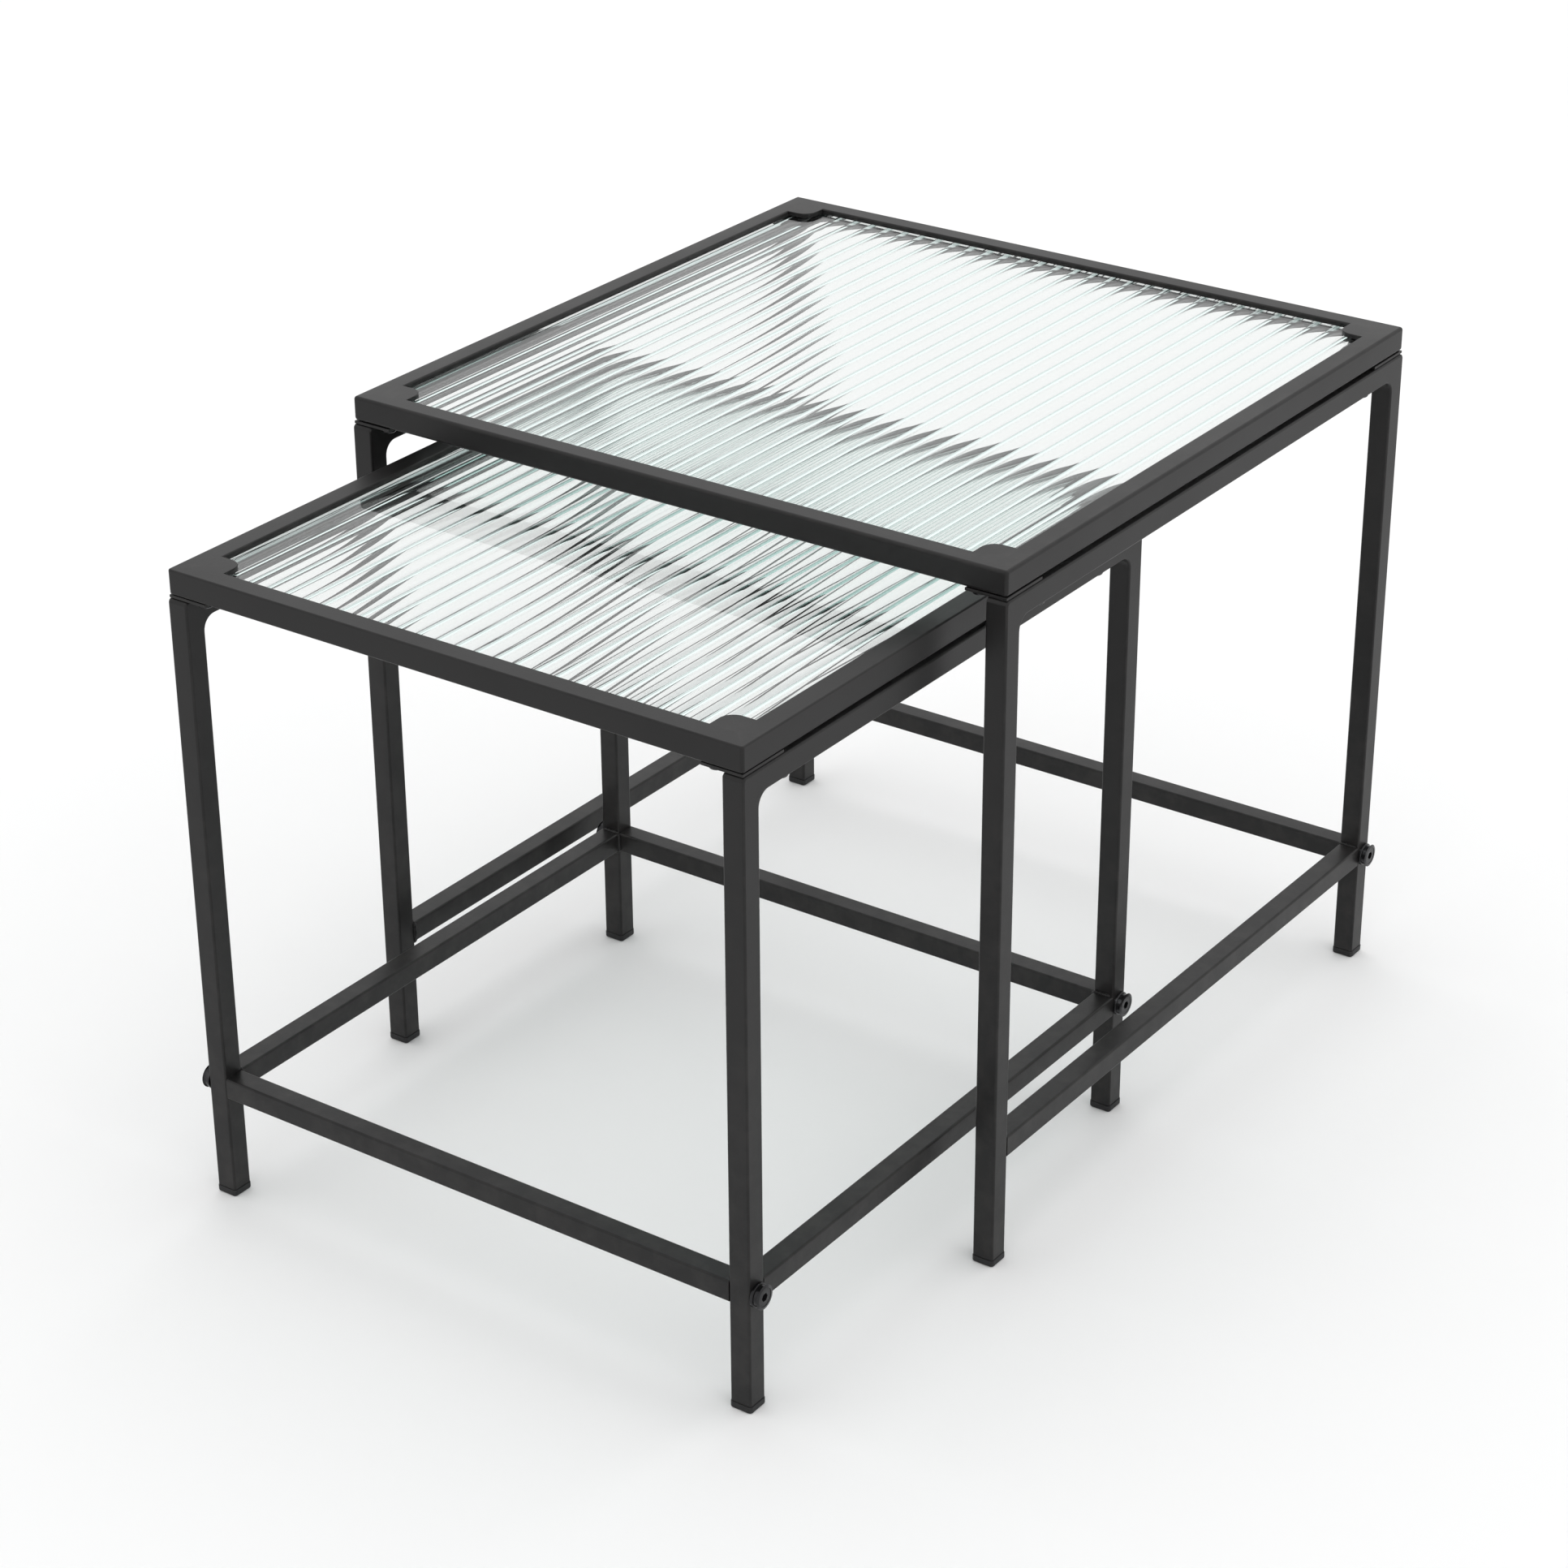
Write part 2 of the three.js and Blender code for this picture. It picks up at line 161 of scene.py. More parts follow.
class Bench:
    """Mesh work with Blender's own operators, one object at a time."""

    @staticmethod
    def take(*objects: Blob) -> None:
        """Selects these objects alone and makes the first one active.

        Args:
            *objects: The objects, or none to deselect everything.
        """
        if bpy.context.object and bpy.context.object.mode != "OBJECT":
            bpy.ops.object.mode_set(mode="OBJECT")
        bpy.ops.object.select_all(action="DESELECT")
        for item in objects:
            item.select_set(True)
        if objects:
            bpy.context.view_layer.objects.active = objects[0]

    @staticmethod
    def settle(item: Blob) -> Blob:
        """Writes the object's place and scale into its mesh.

        Args:
            item: The object.

        Returns:
            The same object.
        """
        Bench.take(item)
        bpy.ops.object.transform_apply(location=True, rotation=True, scale=True)
        return item

    @staticmethod
    def block(name: str, low: Vector, high: Vector) -> Blob:
        """Adds a box between two corners.

        Args:
            name: Name of the new object.
            low: Lowest corner.
            high: Highest corner.

        Returns:
            The box, its place in its mesh.
        """
        Bench.take()
        bpy.ops.mesh.primitive_cube_add(size=1, location=(low + high) / 2)
        item = bpy.context.object
        item.name = item.data.name = name
        item.scale = high - low
        return Bench.settle(item)

    @staticmethod
    def rod(name: str, radius: float, low: Vector, high: Vector, sides: int = 48) -> Blob:
        """Adds a round bar between two points on a line along X, Y or Z.

        Args:
            name: Name of the new object.
            radius: Radius of the bar.
            low: Centre of its first end.
            high: Centre of its second end.
            sides: Number of flats round it.

        Returns:
            The bar, its place in its mesh.
        """
        Bench.take()
        turn = Vector((0, 0, 1)).rotation_difference(high - low).to_euler()
        bpy.ops.mesh.primitive_cylinder_add(
            vertices=sides,
            radius=radius,
            depth=(high - low).length,
            location=(low + high) / 2,
            rotation=turn,
        )
        item = bpy.context.object
        item.name = item.data.name = name
        return Bench.settle(item)

    @staticmethod
    def clear_picks(item: Blob) -> bpy.types.Mesh:
        """Deselects all of an object's mesh.

        Args:
            item: The object.

        Returns:
            Its mesh.
        """
        mesh = item.data
        for part in (mesh.vertices, mesh.edges, mesh.polygons):
            part.foreach_set("select", [False] * len(part))
        return mesh

    @staticmethod
    def pick_edges(item: Blob, wanted: Wanted) -> bool:
        """Selects the sharp edges whose two ends pass a test.

        Args:
            item: The object to select in.
            wanted: Test on the positions of an edge's two ends.

        Returns:
            Whether any edge was selected.
        """
        mesh = Bench.clear_picks(item)
        beside: dict = {}
        for face in mesh.polygons:
            for key in face.edge_keys:
                beside.setdefault(key, []).append(face.normal)
        found = False
        for edge in mesh.edges:
            normals = beside.get(edge.key, [])
            if len(normals) != 2 or normals[0].dot(normals[1]) > ALIKE:
                continue
            a, b = (mesh.vertices[i].co for i in edge.vertices)
            if wanted(a, b):
                edge.select = True
                found = True
        return found

    @staticmethod
    def pick_faces(item: Blob, wanted: Wanted) -> None:
        """Selects the faces whose centre and normal pass a test.

        Args:
            item: The object to select in.
            wanted: Test on a face's centre and normal.
        """
        for face in Bench.clear_picks(item).polygons:
            if wanted(face.center, face.normal):
                face.select = True

    @staticmethod
    def round_edges(item: Blob, wanted: Wanted, radius: float, steps: int) -> Blob:
        """Rounds the edges that pass a test.

        Args:
            item: The object to shape.
            wanted: Test on the positions of an edge's two ends.
            radius: Radius of the rounding.
            steps: Flats across the rounding.

        Returns:
            The same object.
        """
        Bench.take(item)
        if Bench.pick_edges(item, wanted):
            bpy.ops.object.mode_set(mode="EDIT")
            bpy.context.tool_settings.mesh_select_mode = (False, True, False)
            bpy.ops.mesh.bevel(offset=radius, segments=steps, affect="EDGES", clamp_overlap=False)
            bpy.ops.object.mode_set(mode="OBJECT")
        return item

    @staticmethod
    def step_face(item: Blob, wanted: Wanted, inset: float, rise: Vector) -> Blob:
        """Insets the faces that pass a test and pulls them out.

        Args:
            item: The object to shape.
            wanted: Test on a face's centre and normal.
            inset: How far the new face stands inside the old one.
            rise: The move of the new face.

        Returns:
            The same object.
        """
        Bench.take(item)
        Bench.pick_faces(item, wanted)
        bpy.ops.object.mode_set(mode="EDIT")
        bpy.context.tool_settings.mesh_select_mode = (False, False, True)
        bpy.ops.mesh.inset(thickness=inset, depth=0)
        bpy.ops.mesh.extrude_region_move(TRANSFORM_OT_translate={"value": rise})
        bpy.ops.object.mode_set(mode="OBJECT")
        return item

    @staticmethod
    def modify(item: Blob, kind: str, **settings: object) -> Blob:
        """Adds one modifier with these settings and applies it.

        Args:
            item: The object to shape.
            kind: Type of the modifier.
            **settings: Its settings by name.

        Returns:
            The same object.
        """
        Bench.take(item)
        modifier = item.modifiers.new(kind.title(), kind)
        for key, value in settings.items():
            setattr(modifier, key, value)
        bpy.ops.object.modifier_apply(modifier=modifier.name)
        return item

    @staticmethod
    def combine(item: Blob, other: Blob, operation: str) -> Blob:
        """Joins or cuts with a second object, which is used up.

        Args:
            item: The object that stays.
            other: The object to add or to cut with.
            operation: UNION or DIFFERENCE.

        Returns:
            The first object.
        """
        Bench.modify(item, "BOOLEAN", object=other, operation=operation, solver="EXACT")
        bpy.data.objects.remove(other, do_unlink=True)
        return item

    @staticmethod
    def split(item: Blob, point: Vector, normal: Vector) -> Blob:
        """Cuts an object at a plane and keeps the closed part behind it.

        Args:
            item: The object to cut.
            point: A point on the plane.
            normal: Normal of the plane, towards the part that is taken away.

        Returns:
            The same object.
        """
        Bench.take(item)
        bpy.ops.object.mode_set(mode="EDIT")
        bpy.ops.mesh.select_all(action="SELECT")
        bpy.ops.mesh.bisect(
            plane_co=point, plane_no=normal, use_fill=True, clear_outer=True, threshold=CUT_GAP
        )
        bpy.ops.object.mode_set(mode="OBJECT")
        return item

    @staticmethod
    def merge(name: str, *items: Blob) -> Blob:
        """Makes one object of several, without joining their surfaces.

        Args:
            name: Name of the result.
            *items: The objects, all used up but the first.

        Returns:
            The first object, which now holds them all.
        """
        Bench.take(*items)
        if len(items) > 1:
            bpy.ops.object.join()
        items[0].name = items[0].data.name = name
        return items[0]

    @staticmethod
    def copy(item: Blob, name: str, move: Matrix) -> Blob:
        """Makes a copy with its own mesh.

        Args:
            item: The object to copy.
            name: Name of the copy.
            move: Where the copy goes, written into its mesh.

        Returns:
            The copy.
        """
        twin = item.copy()
        twin.data = item.data.copy()
        bpy.context.collection.objects.link(twin)
        twin.name = twin.data.name = name
        twin.data.transform(move)
        if move.determinant() < 0:
            twin.data.flip_normals()
        return twin

    @staticmethod
    def smooth(item: Blob, degrees: float = 35) -> Blob:
        """Shades the roundings smooth, keeps flat faces flat and marks the edges that wear.

        Args:
            item: The object to shade.
            degrees: Bends sharper than this stay sharp.

        Returns:
            The same object.
        """
        Bench.take(item)
        bpy.ops.object.shade_smooth_by_angle(angle=math.radians(degrees))
        Bench.modify(item, "WEIGHTED_NORMAL", keep_sharp=True, weight=100)
        mesh = item.data
        mark = mesh.attributes.new("edge", "FLOAT", "POINT")
        lean = [1 - max(abs(c) for c in vertex.normal) for vertex in mesh.vertices]
        mark.data.foreach_set("value", [min(1.0, value / FULL_LEAN) for value in lean])
        return item


# ---- Finishes ---------------------------------------------------------------------------------


@dataclass(frozen=True)
class Wiring:
    """Short ways to lay out one shader tree."""

    tree: Nodes

    def add(self, kind: str, **values: object) -> bpy.types.Node:
        """Adds a node; values are sockets by name, or the node's own settings.

        Args:
            kind: Node type without its Shader prefix.
            **values: Settings, with underscores for the spaces in a socket's name.

        Returns:
            The new node.
        """
        node = self.tree.nodes.new(kind)
        for key, value in values.items():
            if hasattr(node, key):
                setattr(node, key, value)
            else:
                self.feed(value, node.inputs[key.replace("_", " ")])
        return node

    def feed(self, value: object, socket: bpy.types.NodeSocket) -> None:
        """Links a socket to another, or sets its value.

        Args:
            value: The socket to link from, or the value to set.
            socket: The socket to feed.
        """
        if isinstance(value, bpy.types.NodeSocket):
            self.tree.links.new(value, socket)
        else:
            socket.default_value = value

    def noise(self, place: object, scale: float, detail: float = 3, rough: float = 0.5) -> object:
        """Fractal noise at a scale in cycles per metre.

        Args:
            place: The coordinates to read.
            scale: Cycles per metre.
            detail: Number of finer octaves.
            rough: Strength of the finer octaves.

        Returns:
            The value socket.
        """
        node = self.add("ShaderNodeTexNoise", Scale=scale, Detail=detail, Roughness=rough)
        self.feed(place, node.inputs["Vector"])
        return node.outputs["Fac"]

    def spread(self, value: object, low: float, high: float, to_low: float, to_high: float) -> object:
        """Maps one range of a value on to another, with its ends held.

        Args:
            value: The value socket.
            low: Start of its range.
            high: End of its range.
            to_low: What the start becomes.
            to_high: What the end becomes.

        Returns:
            The value socket.
        """
        node = self.add("ShaderNodeMapRange", clamp=True)
        for index, number in enumerate((value, low, high, to_low, to_high)):
            self.feed(number, node.inputs[index])
        return node.outputs["Result"]

    def math(self, operation: str, a: object, b: object) -> object:
        """One operation on two values.

        Args:
            operation: Name of the operation.
            a: First value or socket.
            b: Second value or socket.

        Returns:
            The value socket.
        """
        node = self.add("ShaderNodeMath", operation=operation)
        self.feed(a, node.inputs[0])
        self.feed(b, node.inputs[1])
        return node.outputs[0]

    def blend(self, share: object, a: object, b: object) -> object:
        """Mixes two colours.

        Args:
            share: Share of the second colour.
            a: First colour or socket.
            b: Second colour or socket.

        Returns:
            The colour socket.
        """
        node = self.add("ShaderNodeMix", data_type="RGBA")
        self.feed(share, node.inputs["Factor"])
        self.feed(a, node.inputs[MIX_A])
        self.feed(b, node.inputs[MIX_B])
        return node.outputs[MIX_RESULT]

    def bump(self, height: object, distance: float, strength: float) -> object:
        """A surface relief.

        Args:
            height: The height socket, 0 to 1.
            distance: Height of the relief in metres.
            strength: Share of the relief that shows.

        Returns:
            The normal socket.
        """
        node = self.add("ShaderNodeBump", Strength=strength, Distance=distance)
        self.feed(height, node.inputs["Height"])
        return node.outputs["Normal"]


class SharedEffects:
    """Node groups that more than one finish uses, each built once."""

    SPECKLE_SHARE = 0.35  # how much of the speckle goes into the relief
    PATCH_SPAN = (0.42, 0.66)  # the noise between whole and fully rubbed

    @staticmethod
    def start(name: str, inputs: Sequence[tuple], outputs: Sequence[tuple]) -> tuple:
        """Opens a new group with named sockets.

        Args:
            name: Name of the group.
            inputs: Pairs of socket name and default value.
            outputs: Pairs of socket name and socket type.

        Returns:
            The wiring, the group's input node and its output node.
        """
        tree = bpy.data.node_groups.new(name, "ShaderNodeTree")
        for label, value in inputs:
            socket = tree.interface.new_socket(label, in_out="INPUT", socket_type="NodeSocketFloat")
            socket.default_value = value
        for label, kind in outputs:
            tree.interface.new_socket(label, in_out="OUTPUT", socket_type=kind)
        wiring = Wiring(tree)
        return wiring, wiring.add("NodeGroupInput"), wiring.add("NodeGroupOutput")

    @staticmethod
    def sprayed_skin() -> Nodes:
        """The skin of a sprayed or moulded surface: fine peel, speckle and slow cloudiness.

        Returns:
            The node group.
        """
        name = "sprayed_skin"
        if name in bpy.data.node_groups:
            return bpy.data.node_groups[name]
        wiring, given, made = SharedEffects.start(
            name,
            [("Peel Scale", 700.0), ("Speckle Scale", 3500.0), ("Cloud Scale", 9.0)],
            [("Height", "NodeSocketFloat"), ("Speckle", "NodeSocketFloat"), ("Cloud", "NodeSocketFloat")],
        )
        place = wiring.add("ShaderNodeTexCoord").outputs["Object"]
        peel = wiring.noise(place, given.outputs["Peel Scale"], detail=2, rough=0.45)
        speckle = wiring.noise(place, given.outputs["Speckle Scale"], detail=1, rough=0.5)
        cloud = wiring.noise(place, given.outputs["Cloud Scale"], detail=4, rough=0.6)
        height = wiring.math("ADD", peel, wiring.math("MULTIPLY", speckle, SharedEffects.SPECKLE_SHARE))
        wiring.feed(height, made.inputs["Height"])
        wiring.feed(speckle, made.inputs["Speckle"])
        wiring.feed(cloud, made.inputs["Cloud"])
        return wiring.tree

    @staticmethod
    def handled_edges() -> Nodes:
        """Where the edges are rubbed: the edge mark of the piece, broken up by noise.

        Returns:
            The node group.
        """
        name = "handled_edges"
        if name in bpy.data.node_groups:
            return bpy.data.node_groups[name]
        wiring, given, made = SharedEffects.start(
            name, [("Amount", 0.5), ("Patch Scale", 60.0)], [("Mask", "NodeSocketFloat")]
        )
        place = wiring.add("ShaderNodeTexCoord").outputs["Object"]
        mark = wiring.add("ShaderNodeAttribute", attribute_name="edge").outputs["Fac"]
        patches = wiring.noise(place, given.outputs["Patch Scale"], detail=5, rough=0.65)
        patches = wiring.spread(patches, *SharedEffects.PATCH_SPAN, 0.0, 1.0)
        rubbed = wiring.math("MULTIPLY", wiring.math("MULTIPLY", mark, patches), given.outputs["Amount"])
        wiring.feed(rubbed, made.inputs["Mask"])
        return wiring.tree


@dataclass(frozen=True)
class Finish:
    """One finish: a material built on first use."""

    name: str

    def material(self) -> bpy.types.Material:
        """The finish as a material.

        Returns:
            The material, the same one each time.
        """
        if self.name in bpy.data.materials:
            return bpy.data.materials[self.name]
        material = bpy.data.materials.new(self.name)
        material.use_nodes = True
        material.node_tree.nodes.clear()
        wiring = Wiring(material.node_tree)
        shader = wiring.add("ShaderNodeBsdfPrincipled")
        output = wiring.add("ShaderNodeOutputMaterial")
        wiring.feed(self.wire(wiring, shader), output.inputs["Surface"])
        return material

    def wire(self, wiring: Wiring, shader: bpy.types.Node) -> bpy.types.NodeSocket:
        """Sets up the shader and returns the socket that shows; each finish has its own way."""
        raise NotImplementedError

    def dress(self, item: Blob) -> Blob:
        """Puts the finish on every face of an object.

        Args:
            item: The object.

        Returns:
            The same object.
        """
        if item.data.materials:
            for index in range(len(item.data.materials)):
                item.data.materials[index] = self.material()
        else:
            item.data.materials.append(self.material())
        return item


@dataclass(frozen=True)
class SprayedBlack(Finish):
    """A black coat or moulding with a fine skin and rubbed edges."""

    dark: tuple = (0.0085, 0.0082, 0.0084, 1)
    light: tuple = (0.0125, 0.012, 0.012, 1)
    worn: tuple = (0.03, 0.028, 0.027, 1)
    rough_low: float = 0.34
    rough_high: float = 0.44
    specular: float = 0.25
    metallic: float = 0.0
    peel_scale: float = 650.0
    speckle_scale: float = 3600.0
    relief: float = 0.00006
    relief_share: float = 0.35
    wear: float = 0.5
    grain: float = 0.03

    def wire(self, wiring: Wiring, shader: bpy.types.Node) -> bpy.types.NodeSocket:
        """Lays skin, cloudiness and rubbed edges over the black.

        Args:
            wiring: The material's wiring.
            shader: Its main shader.

        Returns:
            The socket that shows.
        """
        skin = wiring.add("ShaderNodeGroup", node_tree=SharedEffects.sprayed_skin())
        wiring.feed(self.peel_scale, skin.inputs["Peel Scale"])
        wiring.feed(self.speckle_scale, skin.inputs["Speckle Scale"])
        edges = wiring.add("ShaderNodeGroup", node_tree=SharedEffects.handled_edges())
        wiring.feed(self.wear, edges.inputs["Amount"])
        cloud = wiring.spread(skin.outputs["Cloud"], *NOISE_SPAN, 0.0, 1.0)
        colour = wiring.blend(cloud, self.dark, self.light)
        colour = wiring.blend(edges.outputs["Mask"], colour, self.worn)
        rough = wiring.spread(skin.outputs["Cloud"], *NOISE_SPAN, self.rough_low, self.rough_high)
        grain = wiring.spread(skin.outputs["Speckle"], *NOISE_SPAN, -self.grain, self.grain)
        relief = wiring.bump(skin.outputs["Height"], self.relief, self.relief_share)
        wiring.feed(colour, shader.inputs["Base Color"])
        wiring.feed(wiring.math("ADD", rough, grain), shader.inputs["Roughness"])
        wiring.feed(relief, shader.inputs["Normal"])
        wiring.feed(self.metallic, shader.inputs["Metallic"])
        wiring.feed(self.specular, shader.inputs["Specular IOR Level"])
        return shader.outputs["BSDF"]


@dataclass(frozen=True)
class ReededGlass(Finish):
    """Clear glass with a faint green cast and a few fine marks."""

    tint: tuple = (0.84, 0.862, 0.853, 1)
    # painted shade: colour of the light sent straight through, which sets the aqua-grey flute lines and
    # the glass's faint shadow
    painted_shade_tint: tuple = (0.66, 0.75, 0.735, 1)
    ior: float = 1.52
    most_turns: float = 3.5
    mark_scale: float = 14.0
    mark_span: tuple = (0.45, 0.75)
    mark_rough: float = 0.02

    def wire(self, wiring: Wiring, shader: bpy.types.Node) -> bpy.types.NodeSocket:
        """Sets the glass, with wipe marks that change only its gloss.

        Light that has turned many times inside the flutes, and light from the lamps, goes
        straight on through a clear shader, so that no flute turns black. Its colour is painted
        shade: it gives the lines in the flutes their aqua grey and the glass its faint shadow.

        Args:
            wiring: The material's wiring.
            shader: Its main shader.

        Returns:
            The socket that shows.
        """
        place = wiring.add("ShaderNodeTexCoord").outputs["Object"]
        marks = wiring.noise(place, self.mark_scale, detail=5, rough=0.6)
        gloss = wiring.spread(marks, *self.mark_span, 0.0, self.mark_rough)
        wiring.feed(gloss, shader.inputs["Roughness"])
        wiring.feed(self.tint, shader.inputs["Base Color"])
        wiring.feed(self.ior, shader.inputs["IOR"])
        wiring.feed(1.0, shader.inputs["Transmission Weight"])
        path = wiring.add("ShaderNodeLightPath")
        turned = wiring.math("GREATER_THAN", path.outputs["Ray Depth"], self.most_turns)
        straight_on = wiring.math("MAXIMUM", path.outputs["Is Shadow Ray"], turned)
        # the clear shader carries the painted shade of the flute lines and of the glass's shadow
        clear = wiring.add("ShaderNodeBsdfTransparent", Color=self.painted_shade_tint)
        mix = wiring.add("ShaderNodeMixShader")
        wiring.feed(straight_on, mix.inputs["Fac"])
        wiring.feed(shader.outputs["BSDF"], mix.inputs[1])
        wiring.feed(clear.outputs["BSDF"], mix.inputs[2])
        return mix.outputs["Shader"]


COAT = SprayedBlack("black_powder_coat")
PLASTIC = SprayedBlack(
    "moulded_black_plastic",
    dark=(0.012, 0.012, 0.0125, 1),
    light=(0.02, 0.02, 0.021, 1),
    worn=(0.045, 0.045, 0.045, 1),
    rough_low=0.42,
    rough_high=0.55,
    peel_scale=1800.0,
    speckle_scale=6000.0,
    relief=0.00004,
    relief_share=0.4,
    wear=0.6,
)
OXIDE = SprayedBlack(
    "black_oxide_steel",
    dark=(0.02, 0.02, 0.021, 1),
    light=(0.035, 0.035, 0.037, 1),
    worn=(0.16, 0.16, 0.165, 1),
    rough_low=0.18,
    rough_high=0.28,
    metallic=0.85,
    peel_scale=500.0,
    speckle_scale=5000.0,
    relief=0.00002,
    relief_share=0.2,
    wear=0.35,
)
GLASS = ReededGlass("clear_reeded_glass")


# ---- Sub-assemblies ---------------------------------------------------------------------------


@dataclass
class SubAssembly:
    """A group of pieces on one table."""

    table: str
    pieces: list = field(default_factory=list)

    @property
    def body(self) -> str:
        """The CAD body that this table's pieces ride on."""
        return f"{self.table}_table"

    def node(self, *words: str) -> str:
        """The name of one of this table's CAD nodes."""
        return "_".join((self.table, *words))

    def finish(self, item: Blob, coat: Finish, slot: Slot, *stands_for: str) -> Blob:
        """Names and dresses a finished piece, ties it to its body and hides the CAD nodes that it stands
        for.

        Args:
            item: The piece.
            coat: Its finish.
            slot: The record's slot of that finish; not used.
            *stands_for: Names of the CAD nodes that it replaces.

        Returns:
            The piece.
        """
        Bench.settle(item)
        words = item.name.split(".")[0].removeprefix(f"{self.table}_")
        item.name = item.data.name = f"{self.body}_{words}"
        coat.dress(item)
        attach(item, self.body)
        if stands_for:
            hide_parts(*stands_for)
        self.pieces.append(item)
        return item


@dataclass
class Rim(SubAssembly):
    """The mitred square-tube rim with a tab over each corner of the glass."""

    tube: float = 15 * MM
    corner_radius: float = 2.2 * MM
    edge_radius: float = 1.2 * MM
    tab: float = 18 * MM
    tab_radius: float = 10 * MM
    tab_thick: float = 3 * MM
    weld_in: float = 3 * MM
    tab_edge: float = 0.5 * MM

    def build(self) -> None:
        """Builds the welded ring and parts it at the mitres into its four sides."""
        low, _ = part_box(self.node("rim", "front"))
        _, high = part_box(self.node("rim", "rear"))
        ring = self.ring(low, high)
        for corner in Corner:
            ring = Bench.combine(ring, self.corner_tab(low, high, corner), "UNION")
        middle = (low + high) / 2
        for side in Side:
            facing = Vector((*side.value, 0))
            across = Vector((-facing.y, facing.x, 0))
            bar = Bench.copy(ring, self.node("rim", side.word), Matrix())
            for turn in (-1, 1):
                Bench.split(bar, middle, (across * turn - facing).normalized())
            Bench.smooth(bar)
            self.finish(bar, COAT, Slot.COAT, self.node("rim", side.word))
        bpy.data.objects.remove(ring, do_unlink=True)

    def ring(self, low: Vector, high: Vector) -> Blob:
        """The ring as one body with rounded corners and edges.

        Args:
            low: Lowest corner of the rim.
            high: Highest corner of the rim.

        Returns:
            The ring.
        """
        ring = Bench.block(self.node("rim"), low, high)
        wall = Vector((self.tube, self.tube, -self.tube))
        hole = Bench.block("rim_hole", low + wall, high - wall)
        Bench.combine(ring, hole, "DIFFERENCE")
        Bench.round_edges(
            ring,
            lambda a, b: abs(a.z - b.z) > self.tube / 2
            and min(abs(a.x - low.x), abs(a.x - high.x), abs(a.y - low.y), abs(a.y - high.y)) < NEAR,
            self.corner_radius,
            steps=6,
        )
        return Bench.round_edges(ring, Pick.level, self.edge_radius, steps=3)

    def corner_tab(self, low: Vector, high: Vector, corner: Corner) -> Blob:
        """The flat tab with a round nose at one inner corner, flush with the top of the ring.

        Args:
            low: Lowest corner of the rim.
            high: Highest corner of the rim.
            corner: Corner of the table.

        Returns:
            The tab.
        """
        x, y = corner.value
        outer = corner.outer(low, high)
        root = self.tube - self.weld_in
        nose = self.tube + self.tab
        back, tip = (outer + Vector((-x * reach, -y * reach, 0)) for reach in (root, nose))
        bottom = Vector((min(back.x, tip.x), min(back.y, tip.y), high.z - self.tab_thick))
        top = Vector((max(back.x, tip.x), max(back.y, tip.y), high.z))
        tab = Bench.block("corner_tab", bottom, top)
        Bench.round_edges(tab, Pick.upright(tip), self.tab_radius, steps=12)
        return Bench.round_edges(
            tab,
            lambda a, b: min(a.z, b.z) > high.z - EVEN
            and abs((a.x + b.x) / 2 - back.x) > NEAR
            and abs((a.y + b.y) / 2 - back.y) > NEAR,
            self.tab_edge,
            steps=3,
        )


@dataclass
class GlassPanel(SubAssembly):
    """The square of reeded glass: smooth on top, hollow flutes underneath, front to back."""

    reed_pitch: float = 14.5 * MM
    reed_depth: float = 1.1 * MM
    sheet: float = 4.4 * MM
    flats_per_reed: int = 16
    fullness: float = 0.97
    crease: float = 30

    def build(self) -> None:
        """Builds the sheet, then draws its underside down into ridges with flutes between."""
        name = self.node("glass")
        low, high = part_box(name)
        size = high - low
        reeds = round(size.x / self.reed_pitch)
        columns = reeds * self.flats_per_reed
        Bench.take()
        bpy.ops.mesh.primitive_grid_add(
            x_subdivisions=columns,
            y_subdivisions=1,
            size=1,
            location=((low.x + high.x) / 2, (low.y + high.y) / 2, high.z),
        )
        panel = bpy.context.object
        panel.name = panel.data.name = name
        panel.scale = (size.x, size.y, 1)
        Bench.settle(panel)
        Bench.modify(panel, "SOLIDIFY", thickness=self.sheet, offset=-1)
        self.draw_reeds(panel, low, size.x / reeds, high.z - self.sheet)
        Bench.take(panel)
        bpy.ops.object.shade_smooth_by_angle(angle=math.radians(self.crease))
        self.finish(panel, GLASS, Slot.GLASS, name)

    def draw_reeds(self, panel: Blob, low: Vector, pitch: float, under: float) -> None:
        """Moves each column of points on to the elliptic arc of its flute.

        Args:
            panel: The flat sheet.
            low: Lowest corner of the panel.
            pitch: Width of one flute.
            under: Height of the crown of a flute.
        """
        widest = math.asin(self.fullness)
        edge_height = math.cos(widest)
        for vertex in panel.data.vertices:
            column = round((vertex.co.x - low.x) / pitch * self.flats_per_reed)
            reed, step = divmod(column, self.flats_per_reed)
            angle = (2 * step / self.flats_per_reed - 1) * widest
            across = math.sin(angle) / self.fullness
            vertex.co.x = low.x + (reed + 0.5 + across / 2) * pitch
            if vertex.co.z < under + self.sheet / 2:
                crown = (math.cos(angle) - edge_height) / (1 - edge_height)
                vertex.co.z = under - self.reed_depth * (1 - crown)


